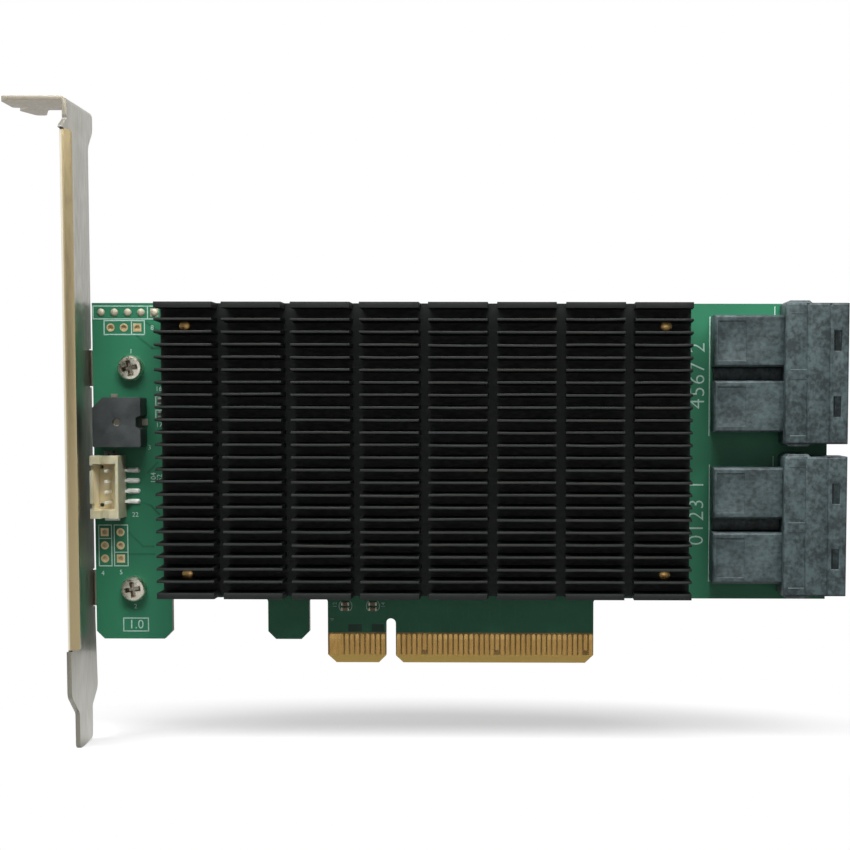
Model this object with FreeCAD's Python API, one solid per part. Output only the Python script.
import FreeCAD, Part
import math
import os

# A storage controller card for an expansion slot, in millimetres.
# X runs along the board away from the bracket, Z is up and -Y is the component side.
# The origin is the centre of the key notch, at the foot of the contact edge, on the front face.

# Circuit board
board_thickness = 1.57
board_left = -56.75
board_right = 83.4
board_top = 68.9
board_lower_edge = 12.6
left_tab_right = -42.15
middle_tab_left = -23.65
middle_tab_right = -15.72
tab_bottom = 4.55
tab_chamfer = 1.5
edge_left = -12.15
edge_right = 39.0
edge_chamfer = 1.6
key_width = 1.9
key_depth = 8.6
key_chamfer = 1.42
inner_corner_radius = 0.9
bevel_height = 1.4
bevel_angle = 20.0

# Edge contacts, counted from the bracket
contact_pitch = 1.0
contact_width = 0.7
contact_thickness = 0.05
contact_bottom = 1.6
contact_top = 5.6
contact_to_key = 1.5
contacts_before_key = 11
contacts_after_key = 38
joined_contacts = 3
short_contacts_front = (17, 31, 48)
short_contacts_back = (1,)
short_contact_cut = 0.9

# Holes for pin headers, bare or filled with solder
hole_pitch = 2.54
hole_radius = 0.5
solder_radius = 0.75
solder_height = 0.4
five_row_drop = 1.8
five_row_inset = 1.75
three_row_drop = 4.65
three_row_inset = 3.53
column_height = 20.05
left_column_inset = 1.79
right_column_inset = 4.84

# Slot bracket, folded from sheet
sheet = 0.86
bend_radius = 0.4
bracket_gap = 0.87
bracket_top = 105.7
bracket_near = -15.5
bracket_near_top = -12.5
bracket_far = 2.45
bracket_far_top = 5.92
bracket_far_flare = 3.5
near_step_top = 101.5
near_step_bottom = 99.95
near_step_radius = 0.5
widening_start = 98.5
widening_end = 101.7
widening_radius = 2.4
tongue_near = -10.2
tongue_far = -0.7
tongue_tip = -14.9
tongue_tip_width = 3.6
tongue_tip_slope = 0.5
tongue_corner = 1.0
shoulder_top = -4.3
shoulder_bottom = -8.2
shoulder_radius = 2.0
flare_drop = 1.0
flare_length = 12.0
flare_blend = 6.0
top_tab_length = 11.4
top_tab_corner = 1.5
top_tab_far = -3.4
screw_notch_width = 5.5
screw_notch_end = -1.4
finger_slot_from_end = 3.9
finger_slot_far = -5.3
finger_slot_radius = 0.35
finger_tip_inset = 0.2
finger_tip_far = -0.6
finger_far = 4.9
finger_end_width = 1.9
finger_lean = 2.05
finger_corner = 0.9
lip_width = 2.55
lip_bottom = 4.4
lip_top = 99.25
lip_relief = 0.3
lip_corner_radius = 0.8
ear_height = 6.9
ear_length = 11.0
ear_relief = 0.2

# Bracket screws
screw_inset = 7.4
screw_heights = (56.55, 14.25)
screw_radius = 1.5
screw_head_radius = 2.45
screw_head_height = 1.9
screw_past_ear = 1.1
screw_point = 0.4
pan_head_slope = 0.6
pan_head_rim = 0.9
recess_length = 2.9
recess_width = 0.7
recess_depth = 1.1
recess_taper = 1.2
recess_foot = 0.56
screw_hole_clearance = 0.12
thread_clearance = 0.03

# Heat sink
sink_left_gap = 14.25
sink_top_gap = 0.35
sink_length = 99.35
sink_height = 55.0
sink_lift = 3.0
sink_base = 2.6
fin_height = 6.27
fin_count = 24
fin_tip = 0.46
fin_root = 0.85
outer_fin = 1.1
outer_fin_spacing = 2.67
column_count = 8
column_pitch = 12.7
cross_cut = 1.75

# Brass screws that come through the board from behind and end between the fins
sink_screw_inset_x = 4.65
sink_screw_inset_z = 4.2
sink_screw_radius = 1.2
sink_screw_past_base = 0.75
sink_screw_point = 0.6
sink_screw_head_radius = 2.3
sink_screw_head_height = 1.6
sink_screw_clearance = 0.05
sink_drill_extra = 0.9

# Controller chip and the parts under the heat sink
thermal_pad = 0.5
carrier_side = 27.0
carrier_thickness = 0.9
lid_side = 23.0
lid_chamfer = 0.4
pad_side = 21.0
chip_from_sink_left = 49.75
chip_above_sink_foot = 27.5
flash_length = 8.0
flash_width = 6.0
flash_height = 0.9
flash_place = (16.0, 38.0)
crystal_length = 3.2
crystal_width = 2.5
crystal_height = 0.8
crystal_place = (27.0, 20.0)
inductor_side = 6.6
inductor_height = 2.6
inductor_chamfer = 0.7
inductor_places = ((74.0, 42.0), (74.0, 13.0))
regulator_side = 5.0
regulator_height = 0.9
regulator_places = ((84.0, 42.0), (84.0, 13.0))

# Small chip parts: length, width and height of the body, then the length of each end
chip_end_over = 0.02
capacitor_size = (1.6, 0.65, 0.5)
capacitor_end = 0.35
capacitor_pair_spacing = 1.0
capacitor_pair_places = (-8.76, -3.47)
capacitor_height = 10.95
resistor_size = (1.1, 0.6, 0.4)
resistor_end = 0.25
resistor_inset = 12.7
resistor_heights = (50.28, 47.75)
bulk_size = (3.2, 1.6, 1.6)
bulk_end = 0.5
bulk_places = ((67.0, 46.5), (67.0, 37.5), (67.0, 17.5), (67.0, 8.5))

# Buzzer
buzzer_left_inset = 1.15
buzzer_foot = 41.6
buzzer_width = 9.05
buzzer_length = 9.35
buzzer_height = 5.6
buzzer_wall = 0.8
buzzer_chamfer = 1.95
buzzer_corner = 0.3
buzzer_hole_radius = 0.72
buzzer_cavity_radius = 3.5
disc_gap = 0.25
disc_thickness = 0.3
buzzer_notch_height = 2.6
buzzer_notch_depth = 0.9
buzzer_lead_width = 1.3
buzzer_lead_thickness = 0.3
buzzer_top_lead_reach = 0.7
buzzer_top_lead_offset = -1.6
buzzer_side_lead_reach = 0.25

# Four-pin header
header_left_inset = 0.75
header_foot = 28.15
header_width = 5.35
header_length = 11.85
header_height = 6.6
header_floor = 1.5
header_side_wall = 0.58
header_end_wall = 1.55
header_end_notch = 1.6
header_end_notch_depth = 2.3
header_side_notch = 1.0
header_side_notch_depth = 1.2
header_side_notch_spacing = 7.2
header_pins = 4
header_pin_pitch = 2.0
header_pin_side = 0.5
header_pin_height = 4.6
header_lead_reach = 2.5
header_lead_foot = 1.3
header_lead_level = 0.75
header_lead_drop = 0.35
header_toe_radius = 0.2
header_pin_clearance = 0.03
header_drain_radius = 0.4
header_drain_inset_x = 0.45
header_drain_inset_z = 0.75
fixing_tab_width = 2.9
fixing_tab_reach = 0.75
fixing_tab_height = 3.2
fixing_tab_thickness = 0.3

# Dual-port connectors
connector_names = ("upper", "lower")
connector_top_gap = 0.3
connector_spacing = 28.4
connector_overhang = 2.42
shroud_length = 26.1
shroud_depth = 11.7
shroud_height = 9.5
shroud_roof = 0.9
shroud_floor = 1.1
shroud_back = 0.9
shroud_edge = 0.3
rib_inset = 0.25
rib_depth = 4.8
rib_reach = 0.45
groove_width = 0.3
groove_depth = 0.2
groove_insets = (3.45, 7.65)
port_pitch = 12.2
port_width = 10.6
latch_from_face = 1.35
latch_depth = 1.45
latch_length = 3.8
housing_length = 13.0
housing_width = 9.6
housing_height = 7.3
housing_edge = 0.35
relief_length = 5.2
relief_width = 7.4
relief_depth = 0.15
relief_inset = 0.7
nose_length = 5.6
nose_width = 8.8
nose_low = 1.7
nose_high = 7.1
nose_clearance = 0.05
card_slot_height = 1.3
card_slot_width = 7.8
card_slot_depth = 4.6
card_slot_levels = (3.05, 5.75)
port_contacts = 9
port_contact_pitch = 0.75
port_contact_width = 0.36
port_contact_thickness = 0.15
port_contact_length = 3.6
tail_rows = 4
tail_row_pitch = 2.6
tail_first_row = 2.6
tail_pitch = 0.9
tail_side = 0.36
tail_past_board = 0.8
bridge_height = 2.4
bridge_clearance = 0.1

# How far a cutting shape runs past what it cuts, how far shapes to be joined run into each
# other, and how near its place an edge must be to be picked
overcut = 1.0
overlap = 0.1
pick = 0.01


def at(x, y, z):
    return FreeCAD.Vector(x, y, z)


def block(x0, x1, y0, y1, z0, z1):
    return Part.makeBox(x1 - x0, y1 - y0, z1 - z0, at(x0, y0, z0))


def slab(x, z, width, length, y0, y1):
    """A block centred on a board place."""
    return block(x - width / 2, x + width / 2, y0, y1, z - length / 2, z + length / 2)


def rod(x, z, radius, y0, y1):
    """A round bar along Y."""
    return Part.makeCylinder(radius, y1 - y0, at(x, y0, z), at(0, 1, 0))


def rounded_wire(corners, place):
    """A closed outline through (a, b) or (a, b, radius) corners, with the given corners rounded."""
    spots = [place(c[0], c[1]) for c in corners]
    starts = []
    ends = []
    arcs = []
    for i, corner in enumerate(corners):
        here = spots[i]
        radius = corner[2] if len(corner) > 2 else 0.0
        if radius == 0.0:
            starts.append(here)
            ends.append(here)
            arcs.append(None)
            continue
        back = spots[i - 1].sub(here).normalize()
        ahead = spots[(i + 1) % len(spots)].sub(here).normalize()
        half = back.getAngle(ahead) / 2
        reach = radius / math.tan(half)
        middle = back.add(ahead).normalize().multiply(radius / math.sin(half) - radius)
        starts.append(here.add(back.multiply(reach)))
        ends.append(here.add(ahead.multiply(reach)))
        arcs.append(Part.Arc(starts[i], here.add(middle), ends[i]).toShape())
    edges = []
    for i in range(len(spots)):
        if arcs[i]:
            edges.append(arcs[i])
        follower = starts[(i + 1) % len(spots)]
        if ends[i].distanceToPoint(follower) > 1e-6:
            edges.append(Part.LineSegment(ends[i], follower).toShape())
    return Part.Wire(edges)


def plate_xz(corners, y0, y1):
    """An outline in X and Z, extruded along Y."""
    wire = rounded_wire(corners, lambda a, b: at(a, y0, b))
    return Part.Face(wire).extrude(at(0, y1 - y0, 0))


def plate_yz(corners, x0, x1):
    """An outline in Y and Z, extruded along X."""
    wire = rounded_wire(corners, lambda a, b: at(x0, a, b))
    return Part.Face(wire).extrude(at(x1 - x0, 0, 0))


def plate_xy(corners, z0, z1):
    """An outline in X and Y, extruded along Z."""
    wire = rounded_wire(corners, lambda a, b: at(a, b, z0))
    return Part.Face(wire).extrude(at(0, 0, z1 - z0))


def turned(profile, x, z):
    """A profile of (radius, y) corners turned about a line along Y."""
    wire = rounded_wire(profile, lambda a, b: at(x + a, b, z))
    return Part.Face(wire).revolve(at(x, 0, z), at(0, 1, 0), 360)


def joined(solids):
    whole = solids[0].multiFuse(solids[1:])
    return whole.removeSplitter()


def save(node, shape):
    shape.exportStep(f"parts/{node}.step")


def save_group(node, solids):
    save(node, Part.makeCompound(solids))


def mirrored_levels(centre, spacing, count):
    """Evenly spaced places about a centre."""
    return [centre + (i - (count - 1) / 2) * spacing for i in range(count)]


os.makedirs("parts", exist_ok=True)

board_back = board_thickness

# Places that several pieces share
screw_x = board_left + screw_inset
screw_spots = [(screw_x, z) for z in screw_heights]
sink_left = board_left + sink_left_gap
sink_right = sink_left + sink_length
sink_top = board_top - sink_top_gap
sink_foot = sink_top - sink_height
sink_base_top = -sink_lift - sink_base
sink_screw_spots = [
    (x, z)
    for x in (sink_left + sink_screw_inset_x, sink_right - sink_screw_inset_x)
    for z in (sink_foot + sink_screw_inset_z, sink_top - sink_screw_inset_z)
]
five_row = [(board_left + five_row_inset + i * hole_pitch, board_top - five_row_drop) for i in range(5)]
three_row = [(board_left + three_row_inset + i * hole_pitch, board_top - three_row_drop) for i in range(3)]
left_column = [(board_left + left_column_inset, column_height + i * hole_pitch) for i in range(3)]
right_column = [(board_left + right_column_inset, column_height + i * hole_pitch) for i in range(3)]
bare_holes = three_row + left_column + right_column
shroud_face = board_right + connector_overhang
shroud_rear = shroud_face - shroud_depth
housing_left = shroud_rear - housing_length
first_connector = board_top - connector_top_gap - shroud_length / 2
connector_centres = [first_connector - i * connector_spacing for i in range(len(connector_names))]


def ports_of(centre):
    """The heights of a connector's two ports, the upper one first."""
    return (centre + port_pitch / 2, centre - port_pitch / 2)


def tails_of(port):
    """The tails of a port in rows across its housing."""
    columns = mirrored_levels(port, tail_pitch, port_contacts)
    rows = [housing_left + tail_first_row + i * tail_row_pitch for i in range(tail_rows)]
    return [(x, z) for x in rows for z in columns]


def contact_x(number):
    if number <= contacts_before_key:
        return -contact_to_key - (contacts_before_key - number) * contact_pitch
    return contact_to_key + (number - contacts_before_key - 1) * contact_pitch


def edge_bevel(face, inward):
    """The wedge that a board's contact edge loses on one face."""
    slope = math.tan(math.radians(bevel_angle)) * inward
    foot = face + slope * (bevel_height + overcut)
    outside = face - inward
    return plate_yz(
        [(face, bevel_height), (outside, bevel_height), (outside, -overcut), (foot, -overcut)],
        edge_left - overcut,
        edge_right + overcut,
    )


# Circuit board: routed outline, key notch, bevelled edge and every drilled hole
outline = [
    (board_left, board_top),
    (board_right, board_top),
    (board_right, board_lower_edge),
    (edge_right, board_lower_edge, inner_corner_radius),
    (edge_right, edge_chamfer),
    (edge_right - edge_chamfer, 0),
    (edge_left + edge_chamfer, 0),
    (edge_left, edge_chamfer),
    (edge_left, board_lower_edge, inner_corner_radius),
    (middle_tab_right, board_lower_edge, inner_corner_radius),
    (middle_tab_right, tab_bottom + tab_chamfer),
    (middle_tab_right - tab_chamfer, tab_bottom),
    (middle_tab_left + tab_chamfer, tab_bottom),
    (middle_tab_left, tab_bottom + tab_chamfer),
    (middle_tab_left, board_lower_edge, inner_corner_radius),
    (left_tab_right, board_lower_edge, inner_corner_radius),
    (left_tab_right, tab_bottom + tab_chamfer),
    (left_tab_right - tab_chamfer, tab_bottom),
    (board_left + tab_chamfer, tab_bottom),
    (board_left, tab_bottom + tab_chamfer),
]
board = plate_xz(outline, 0, board_back)
half_key = key_width / 2
half_mouth = half_key + key_chamfer + overcut
through = (-overcut, board_back + overcut)
key_notch = plate_xz(
    [
        (-half_mouth, -overcut),
        (half_mouth, -overcut),
        (half_key, key_chamfer),
        (half_key, key_depth, half_key),
        (-half_key, key_depth, half_key),
        (-half_key, key_chamfer),
    ],
    *through,
)
cuts = [key_notch, edge_bevel(0, 1), edge_bevel(board_back, -1)]
cuts += [rod(x, z, screw_radius + screw_hole_clearance, *through) for x, z in screw_spots]
cuts += [rod(x, z, sink_screw_radius + sink_screw_clearance, *through) for x, z in sink_screw_spots]
cuts += [rod(x, z, hole_radius, *through) for x, z in bare_holes]
save("circuit_board", board.cut(Part.makeCompound(cuts)))


# Edge contacts: gold-plated copper strips, the first ones on the front joined into one pad
def edge_contact(first, last, bottom, y0, y1):
    half = contact_width / 2
    return block(contact_x(first) - half, contact_x(last) + half, y0, y1, bottom, contact_top)


contact_count = contacts_before_key + contacts_after_key
front_strips = [edge_contact(1, joined_contacts, contact_bottom, -contact_thickness, 0)]
for number in range(joined_contacts + 1, contact_count + 1):
    lift = short_contact_cut if number in short_contacts_front else 0
    front_strips.append(edge_contact(number, number, contact_bottom + lift, -contact_thickness, 0))
save_group("edge_contacts_front", front_strips)
back_strips = []
for number in range(1, contact_count + 1):
    lift = short_contact_cut if number in short_contacts_back else 0
    back_strips.append(
        edge_contact(number, number, contact_bottom + lift, board_back, board_back + contact_thickness)
    )
save_group("edge_contacts_back", back_strips)


# Solder that fills the row of header holes at the board's corner
solder_domes = []
for spot in five_row:
    profile = [(0, -solder_height), (hole_radius, -solder_height), (solder_radius, 0), (0, 0)]
    solder_domes.append(turned(profile, *spot))
save_group("header_solder", solder_domes)


# Bracket: one folded sheet of plate, top tab with screw notch, lip, tongue and two ears
bracket_inner = board_left - bracket_gap
bracket_outer = bracket_inner - sheet
outer_bend = sheet + bend_radius
tab_end = bracket_outer - top_tab_length
fold_section = [
    (bracket_outer, tongue_tip - overcut),
    (bracket_outer, bracket_top - sheet, bend_radius),
    (tab_end - overcut, bracket_top - sheet),
    (tab_end - overcut, bracket_top),
    (bracket_inner, bracket_top, outer_bend),
    (bracket_inner, tongue_tip - overcut),
]
fold = plate_xz(fold_section, bracket_near - overcut, bracket_far_top + overcut)
plate_outline = [
    (bracket_near_top, bracket_top - outer_bend),
    (bracket_near_top, near_step_top, near_step_radius),
    (bracket_near, near_step_bottom, near_step_radius),
    (bracket_near, shoulder_top, shoulder_radius),
    (tongue_near, shoulder_bottom, tongue_corner),
    (tongue_near, tongue_tip, tongue_corner),
    (tongue_near + tongue_tip_width, tongue_tip, tongue_corner),
    (tongue_far, tongue_tip + tongue_tip_slope, tongue_corner),
    (tongue_far, shoulder_bottom, tongue_corner),
    (bracket_far_flare, shoulder_top - flare_drop, shoulder_radius),
    (bracket_far, shoulder_top + flare_length, flare_blend),
    (bracket_far, widening_start, widening_radius),
    (bracket_far_top, widening_end, widening_radius),
    (bracket_far_top, bracket_top - outer_bend),
]
plate_keep = plate_yz(plate_outline, bracket_outer - overcut, bracket_inner + overcut)
notch_outer = bracket_outer - screw_notch_width
finger_end = notch_outer - finger_lean
tab_outline = [
    (bracket_inner + overcut, bracket_near_top),
    (tab_end, bracket_near_top, top_tab_corner),
    (tab_end, top_tab_far, finger_corner),
    (tab_end + finger_slot_from_end, finger_slot_far, finger_slot_radius),
    (tab_end + finger_tip_inset, finger_tip_far, finger_corner),
    (finger_end - finger_end_width, finger_far, finger_corner),
    (finger_end, finger_far, finger_corner),
    (notch_outer, screw_notch_end, finger_corner),
    (bracket_outer + overlap, screw_notch_end, finger_corner),
    (bracket_outer + overlap, bracket_far_top),
    (bracket_inner + overcut, bracket_far_top),
]
tab_keep = plate_xy(tab_outline, bracket_top - outer_bend, bracket_top + overcut)
folded = fold.common(plate_keep.fuse(tab_keep))

# The lip replaces the plate's near edge between two relief notches
lip_cut = block(
    bracket_outer - overcut,
    bracket_inner + overcut,
    bracket_near - overcut,
    bracket_near + outer_bend,
    lip_bottom - lip_relief,
    lip_top + lip_relief,
)
lip_section = [
    (bracket_outer, bracket_near, outer_bend),
    (bracket_outer + lip_width, bracket_near),
    (bracket_outer + lip_width, bracket_near + sheet),
    (bracket_inner, bracket_near + sheet, bend_radius),
    (bracket_inner, bracket_near + outer_bend),
    (bracket_outer, bracket_near + outer_bend),
]
lip = plate_xy(lip_section, lip_bottom, lip_top)
lip_corner = plate_xz(
    [
        (bracket_outer - overcut, lip_bottom),
        (bracket_outer + lip_width, lip_bottom, lip_corner_radius),
        (bracket_outer + lip_width, lip_top, lip_corner_radius),
        (bracket_outer - overcut, lip_top),
    ],
    bracket_near - overcut,
    bracket_near + outer_bend,
)
lip = lip.common(lip_corner)

# The ears are bent from the plate to lie against the back of the board, with relief above and below
ear_front = board_back
ear_back = ear_front + sheet
ear_section = [
    (bracket_outer, ear_back - outer_bend),
    (bracket_inner, ear_back - outer_bend),
    (bracket_inner, ear_front, bend_radius),
    (bracket_inner + ear_length, ear_front),
    (bracket_inner + ear_length, ear_back),
    (bracket_outer, ear_back, outer_bend),
]
ears = []
ear_cuts = []
for x, z in screw_spots:
    low = z - ear_height / 2
    high = z + ear_height / 2
    ear = plate_xy(ear_section, low, high)
    thread = rod(x, z, screw_radius + thread_clearance, ear_front - overcut, ear_back + overcut)
    ears.append(ear.cut(thread))
    ear_cuts.append(
        block(
            bracket_outer - overcut,
            bracket_inner + overcut,
            ear_back - outer_bend,
            bracket_far + overcut,
            low - ear_relief,
            high + ear_relief,
        )
    )
plate = folded.cut(Part.makeCompound([lip_cut] + ear_cuts))
save("bracket", joined([plate, lip] + ears))


# Bracket screws: pan heads with a cross recess, threaded into the ears
def rectangle(x, y, z, length, width):
    """A closed outline about a place, across X and Z."""
    a = length / 2
    b = width / 2
    corners = [at(x - a, y, z - b), at(x + a, y, z - b), at(x + a, y, z + b), at(x - a, y, z + b)]
    return Part.makePolygon(corners + corners[:1])


def cross_recess(x, z, top):
    """Two crossing slots that narrow towards their foot."""
    slots = []
    for length, width in ((recess_length, recess_width), (recess_width, recess_length)):
        foot_length = max(length - recess_taper, recess_foot)
        foot_width = max(width - recess_taper, recess_foot)
        wide = rectangle(x, top - overcut, z, length, width)
        narrow = rectangle(x, top + recess_depth, z, foot_length, foot_width)
        slots.append(Part.makeLoft([wide, narrow], True, True))
    return slots


def pan_screw(x, z, seat, direction, radius, length, head_radius, head_height, point):
    """A pan-head screw whose head stands off a seat towards -Y (direction 1) or +Y (direction -1)."""
    top = seat - direction * head_height
    profile = [
        (0, top),
        (head_radius - pan_head_slope, top),
        (head_radius, seat - direction * pan_head_rim),
        (head_radius, seat),
        (radius, seat),
        (radius, seat + direction * (length - point)),
        (radius - point, seat + direction * length),
        (0, seat + direction * length),
    ]
    return turned(profile, x, z)


bracket_screws = []
for x, z in screw_spots:
    grip = board_thickness + sheet + screw_past_ear
    screw = pan_screw(x, z, 0, 1, screw_radius, grip, screw_head_radius, screw_head_height, screw_point)
    bracket_screws.append(screw.cut(Part.makeCompound(cross_recess(x, z, -screw_head_height))))
save_group("bracket_screws", bracket_screws)

# Heat sink: a finned extrusion, cross-cut into columns, drilled from below for its screws
fin_tips = sink_base_top - fin_height
fin_pitch = (sink_height - outer_fin - 2 * outer_fin_spacing) / (fin_count - 3)


def fin_profile(z, root, tip):
    return [
        (sink_base_top, z - root / 2),
        (fin_tips, z - tip / 2),
        (fin_tips, z + tip / 2),
        (sink_base_top, z + root / 2),
    ]


sink_x = (sink_left + sink_right) / 2
sink_z = (sink_foot + sink_top) / 2
comb = [(-sink_lift, sink_top), (-sink_lift, sink_foot)]
comb += fin_profile(sink_foot + outer_fin / 2, outer_fin, outer_fin)
for z in mirrored_levels(sink_z, fin_pitch, fin_count - 2):
    comb += fin_profile(z, fin_root, fin_tip)
comb += fin_profile(sink_top - outer_fin / 2, outer_fin, outer_fin)
extrusion = plate_yz(comb, sink_left, sink_right)
sink_cuts = []
cut_length = sink_height + overcut
for x in mirrored_levels(sink_x, column_pitch, column_count - 1):
    sink_cuts.append(slab(x, sink_z, cross_cut, cut_length, fin_tips - overcut, sink_base_top))
screw_end = sink_base_top - sink_screw_past_base
drill_end = screw_end - sink_drill_extra
sink_cuts += [
    rod(x, z, sink_screw_radius + thread_clearance, drill_end, 0) for x, z in sink_screw_spots
]
save("heat_sink", extrusion.cut(Part.makeCompound(sink_cuts)))

# Heat-sink screws: brass, with their heads behind the board and chamfered ends between the fins
sink_screws = []
for x, z in sink_screw_spots:
    screw = pan_screw(
        x,
        z,
        board_back,
        -1,
        sink_screw_radius,
        board_back - screw_end,
        sink_screw_head_radius,
        sink_screw_head_height,
        sink_screw_point,
    )
    recess = Part.makeCompound(cross_recess(x, z, -board_back - sink_screw_head_height))
    sink_screws.append(screw.cut(recess.mirror(at(0, 0, 0), at(0, 1, 0))))
save_group("heat_sink_screws", sink_screws)


# Controller chip: carrier on the board, metal lid, and a thermal pad up to the heat sink
chip = (sink_left + chip_from_sink_left, sink_foot + chip_above_sink_foot)
lid_top = thermal_pad - sink_lift
save("controller_carrier", slab(*chip, carrier_side, carrier_side, -carrier_thickness, 0))
lid = slab(*chip, lid_side, lid_side, lid_top, -carrier_thickness)
lid_edges = [e for e in lid.Edges if e.BoundBox.YMax < lid_top + pick]
save("controller_lid", lid.makeChamfer(lid_chamfer, lid_edges))
save("thermal_pad", slab(*chip, pad_side, pad_side, -sink_lift, lid_top))

# Firmware chip in a leadless package, and the crystal beside the controller
flash_x = sink_left + flash_place[0]
flash_z = sink_foot + flash_place[1]
save("flash_chip", slab(flash_x, flash_z, flash_length, flash_width, -flash_height, 0))
crystal_x = sink_left + crystal_place[0]
crystal_z = sink_foot + crystal_place[1]
save("crystal", slab(crystal_x, crystal_z, crystal_length, crystal_width, -crystal_height, 0))

inductors = []
for x, z in inductor_places:
    body = slab(sink_left + x, sink_foot + z, inductor_side, inductor_side, -inductor_height, 0)
    upright = [e for e in body.Edges if e.BoundBox.YLength > inductor_height - pick]
    inductors.append(body.makeChamfer(inductor_chamfer, upright))
save_group("power_inductors", inductors)
regulators = [
    slab(sink_left + x, sink_foot + z, regulator_side, regulator_side, -regulator_height, 0)
    for x, z in regulator_places
]
save_group("voltage_regulators", regulators)


# Chip parts: a body between two tinned ends that are a little larger
def chip_part(x, z, size, end, upright):
    length, width, height = size
    over = chip_end_over
    half = length / 2 - end
    pieces = []
    for low, high, grow in ((-half, half, 0), (-half - end, -half, over), (half, half + end, over)):
        side = width / 2 + grow
        y0 = -height - grow
        if upright:
            pieces.append(block(x - side, x + side, y0, 0, z + low, z + high))
        else:
            pieces.append(block(x + low, x + high, y0, 0, z - side, z + side))
    return pieces[0], pieces[1:]


def save_chip_parts(name, spots, size, end, upright):
    bodies = []
    ends = []
    for x, z in spots:
        body, tips = chip_part(x, z, size, end, upright)
        bodies.append(body)
        ends += tips
    save_group(f"{name}_bodies", bodies)
    save_group(f"{name}_ends", ends)


capacitor_spots = [
    (x, z)
    for x in capacitor_pair_places
    for z in mirrored_levels(capacitor_height, capacitor_pair_spacing, 2)
]
save_chip_parts("chip_capacitor", capacitor_spots, capacitor_size, capacitor_end, False)
resistor_spots = [(board_left + resistor_inset, z) for z in resistor_heights]
save_chip_parts("chip_resistor", resistor_spots, resistor_size, resistor_end, True)
bulk_spots = [(sink_left + x, sink_foot + z) for x, z in bulk_places]
save_chip_parts("bulk_capacitor", bulk_spots, bulk_size, bulk_end, True)

# Buzzer: a moulded case with a cut corner and a sound hole over its disc
buzzer_left = board_left + buzzer_left_inset
buzzer_right = buzzer_left + buzzer_width
buzzer_top = buzzer_foot + buzzer_length
buzzer_x = (buzzer_left + buzzer_right) / 2
buzzer_z = (buzzer_foot + buzzer_top) / 2
notch_low = buzzer_z - buzzer_notch_height / 2
notch_high = buzzer_z + buzzer_notch_height / 2
case = plate_xz(
    [
        (buzzer_left, buzzer_foot, buzzer_corner),
        (buzzer_right, buzzer_foot, buzzer_corner),
        (buzzer_right, notch_low),
        (buzzer_right - buzzer_notch_depth, notch_low + buzzer_notch_depth / 2, buzzer_corner),
        (buzzer_right - buzzer_notch_depth, notch_high - buzzer_notch_depth / 2, buzzer_corner),
        (buzzer_right, notch_high),
        (buzzer_right, buzzer_top, buzzer_corner),
        (buzzer_left + buzzer_chamfer, buzzer_top, buzzer_corner),
        (buzzer_left, buzzer_top - buzzer_chamfer, buzzer_corner),
    ],
    -buzzer_height,
    0,
)
disc_top = -buzzer_height + buzzer_wall + disc_gap
disc_foot = disc_top + disc_thickness
hollow = rod(buzzer_x, buzzer_z, buzzer_cavity_radius, -buzzer_height + buzzer_wall, disc_foot)
sound_hole = rod(buzzer_x, buzzer_z, buzzer_hole_radius, -buzzer_height - overcut, disc_top)
lead_half = buzzer_lead_width / 2
top_lead_x = buzzer_x + buzzer_top_lead_offset
lead_seats = [
    block(
        top_lead_x - lead_half,
        top_lead_x + lead_half,
        -buzzer_lead_thickness,
        0,
        buzzer_top - buzzer_wall,
        buzzer_top + buzzer_top_lead_reach,
    ),
    block(
        buzzer_right - buzzer_notch_depth - buzzer_wall,
        buzzer_right + buzzer_side_lead_reach,
        -buzzer_lead_thickness,
        0,
        buzzer_z - lead_half,
        buzzer_z + lead_half,
    ),
]
save("buzzer_case", case.cut(Part.makeCompound([hollow, sound_hole] + lead_seats)))
save("buzzer_disc", rod(buzzer_x, buzzer_z, buzzer_cavity_radius, disc_top, disc_foot))
save_group("buzzer_leads", lead_seats)

# Header: an open-topped housing, four pins bent out to solder feet, and two fixing tabs
header_left = board_left + header_left_inset
header_right = header_left + header_width
header_end = header_foot + header_length
header_z = (header_foot + header_end) / 2
header_rim = -header_height
housing = block(header_left, header_right, header_rim, 0, header_foot, header_end)
header_cuts = [
    block(
        header_left + header_side_wall,
        header_right - header_side_wall,
        header_rim - overcut,
        -header_floor,
        header_foot + header_end_wall,
        header_end - header_end_wall,
    )
]
header_x = (header_left + header_right) / 2
half_notch = header_end_notch / 2
for z0, z1 in (
    (header_foot - overcut, header_foot + header_end_wall + overcut),
    (header_end - header_end_wall - overcut, header_end + overcut),
):
    header_cuts.append(
        block(
            header_x - half_notch,
            header_x + half_notch,
            header_rim - overcut,
            header_rim + header_end_notch_depth,
            z0,
            z1,
        )
    )
for z in mirrored_levels(header_z, header_side_notch_spacing, 2):
    half_side = header_side_notch / 2
    header_cuts.append(
        block(
            header_left - overcut,
            header_left + header_side_wall + overlap,
            header_rim - overcut,
            header_rim + header_side_notch_depth,
            z - half_side,
            z + half_side,
        )
    )
drain_x = header_left + header_side_wall + header_drain_inset_x
drain_inset = header_end_wall + header_drain_inset_z
for z in (header_foot + drain_inset, header_end - drain_inset):
    header_cuts.append(rod(drain_x, z, header_drain_radius, -header_floor - overlap, overcut))


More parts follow.
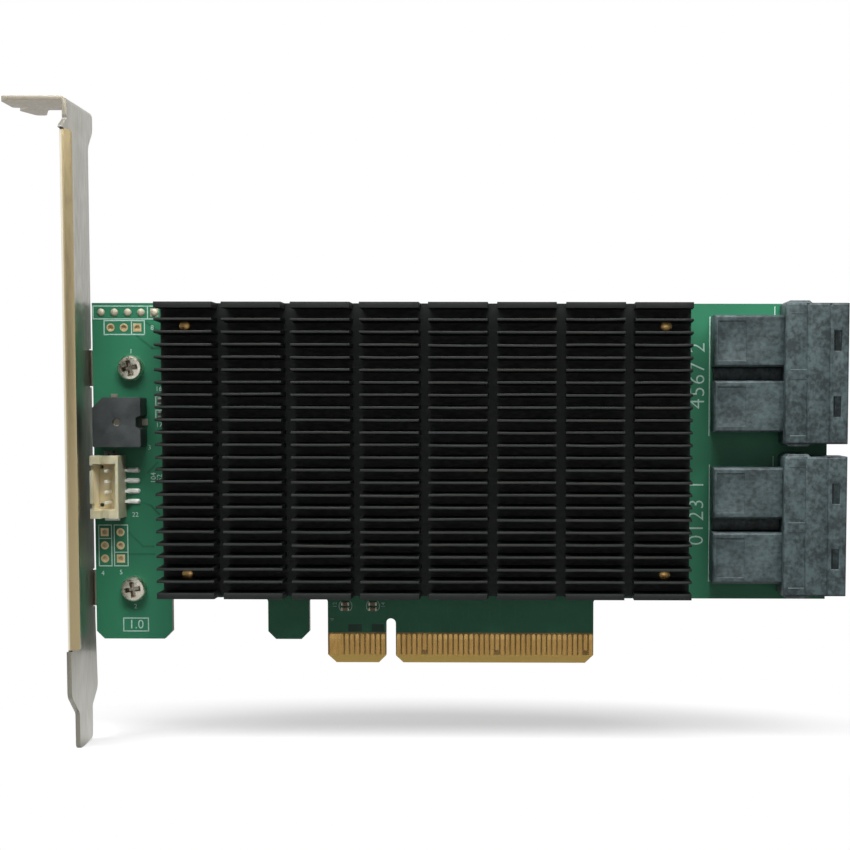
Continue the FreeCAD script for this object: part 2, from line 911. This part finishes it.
def header_pin(z, grow):
    """A square pin that stands in the cavity, runs out under the side wall and steps down to a foot."""
    half = header_pin_side / 2 + grow
    level = -header_lead_level
    tip = level - header_pin_height
    toe = header_right + header_lead_reach
    heel = toe - header_lead_foot
    drop = header_right + header_lead_drop
    thick = header_pin_side
    section = [
        (header_x - half, level + grow),
        (header_x - half, tip),
        (header_x + half, tip),
        (header_x + half, level - thick - grow),
        (drop + thick / 2, level - thick - grow),
        (heel + thick / 2, -thick),
        (toe, -thick, header_toe_radius),
        (toe, 0),
        (heel, 0),
        (drop, level + grow),
    ]
    return plate_xy(section, z - half, z + half)


pin_levels = mirrored_levels(header_z, header_pin_pitch, header_pins)
header_cuts += [header_pin(z, header_pin_clearance) for z in pin_levels]
tabs = []
half_tab = fixing_tab_width / 2
for end, out in ((header_foot, -1), (header_end, 1)):
    edge = end + out * fixing_tab_reach
    wall = end - out * fixing_tab_thickness
    foot = block(
        header_x - half_tab,
        header_x + half_tab,
        -fixing_tab_thickness,
        0,
        min(wall, edge),
        max(wall, edge),
    )
    upright = block(
        header_x - half_tab,
        header_x + half_tab,
        -fixing_tab_height,
        -fixing_tab_thickness,
        min(wall, end),
        max(wall, end),
    )
    tabs.append(joined([foot, upright]))
save("header_housing", housing.cut(Part.makeCompound(header_cuts + tabs)))
save_group("header_pins", [header_pin(z, 0) for z in pin_levels])
save_group("header_fixing_tabs", tabs)

# Connectors: a dual shroud over two terminal housings whose noses hold the card slots
half_port = port_width / 2
half_housing = housing_width / 2
half_nose = nose_width / 2
half_slot = card_slot_width / 2
nose_end = shroud_rear + shroud_back + nose_length
for name, centre in zip(connector_names, connector_centres):
    low = centre - shroud_length / 2
    high = centre + shroud_length / 2
    ports = ports_of(centre)
    body = block(shroud_rear, shroud_face, -shroud_height, 0, low, high)
    rims = [e for e in body.Edges if e.BoundBox.YMax < -shroud_height + pick]
    body = body.makeChamfer(shroud_edge, rims)
    rib = plate_xz(
        [
            (shroud_rear + rib_inset, low),
            (shroud_rear + rib_inset + rib_reach, low - rib_reach),
            (shroud_rear + rib_depth - rib_reach, low - rib_reach),
            (shroud_rear + rib_depth, low),
            (shroud_rear + rib_depth, high),
            (shroud_rear + rib_depth - rib_reach, high + rib_reach),
            (shroud_rear + rib_inset + rib_reach, high + rib_reach),
            (shroud_rear + rib_inset, high),
        ],
        shroud_edge - shroud_height,
        0,
    )
    gap = port_pitch - housing_width
    bridge_half = gap / 2 - bridge_clearance
    bridge = block(
        housing_left + housing_edge,
        shroud_rear + overlap,
        -bridge_height,
        0,
        centre - bridge_half,
        centre + bridge_half,
    )
    shroud = joined([body, rib, bridge])
    shroud_cuts = []
    for inset in groove_insets:
        x = shroud_face - inset
        shroud_cuts.append(
            block(
                x - groove_width / 2,
                x + groove_width / 2,
                -shroud_height - overcut,
                groove_depth - shroud_height,
                low - overcut,
                high + overcut,
            )
        )
    for number, port in enumerate(ports, start=1):
        shroud_cuts.append(
            block(
                shroud_rear + shroud_back,
                shroud_face + overcut,
                shroud_roof - shroud_height,
                -shroud_floor,
                port - half_port,
                port + half_port,
            )
        )
        shroud_cuts.append(
            block(
                shroud_face - latch_from_face - latch_depth,
                shroud_face - latch_from_face,
                -shroud_height - overcut,
                shroud_roof - shroud_height + overlap,
                port - latch_length / 2,
                port + latch_length / 2,
            )
        )
        shroud_cuts.append(
            block(
                shroud_rear - overcut,
                shroud_rear + shroud_back + overcut,
                -nose_high - nose_clearance,
                nose_clearance - nose_low,
                port - half_nose - nose_clearance,
                port + half_nose + nose_clearance,
            )
        )
        block_body = block(
            housing_left, shroud_rear, -housing_height, 0, port - half_housing, port + half_housing
        )
        top_edges = [
            e
            for e in block_body.Edges
            if e.BoundBox.YMax < pick - housing_height and e.BoundBox.XMin < shroud_rear - pick
        ]
        block_body = block_body.makeChamfer(housing_edge, top_edges)
        nose = block(
            shroud_rear - overlap, nose_end, -nose_high, -nose_low, port - half_nose, port + half_nose
        )
        housing_cuts = [
            block(
                housing_left + relief_inset,
                housing_left + relief_inset + relief_length,
                -housing_height - overcut,
                relief_depth - housing_height,
                port - relief_width / 2,
                port + relief_width / 2,
            )
        ]
        springs = []
        for level in card_slot_levels:
            slot_high = -level - card_slot_height / 2
            slot_low = -level + card_slot_height / 2
            housing_cuts.append(
                block(
                    nose_end - card_slot_depth,
                    nose_end + overcut,
                    slot_high,
                    slot_low,
                    port - half_slot,
                    port + half_slot,
                )
            )
            for z in mirrored_levels(port, port_contact_pitch, port_contacts):
                for y0 in (slot_high, slot_low - port_contact_thickness):
                    springs.append(
                        block(
                            nose_end - card_slot_depth,
                            nose_end - card_slot_depth + port_contact_length,
                            y0,
                            y0 + port_contact_thickness,
                            z - port_contact_width / 2,
                            z + port_contact_width / 2,
                        )
                    )
        terminal = joined([block_body, nose]).cut(Part.makeCompound(housing_cuts))
        save(f"{name}_housing_{number}", terminal)
        save_group(f"{name}_contacts_{number}", springs)
        tails = [
            slab(x, z, tail_side, tail_side, board_back, board_back + tail_past_board)
            for x, z in tails_of(port)
        ]
        save_group(f"{name}_tails_{number}", tails)
    save(f"{name}_shroud", shroud.cut(Part.makeCompound(shroud_cuts)))
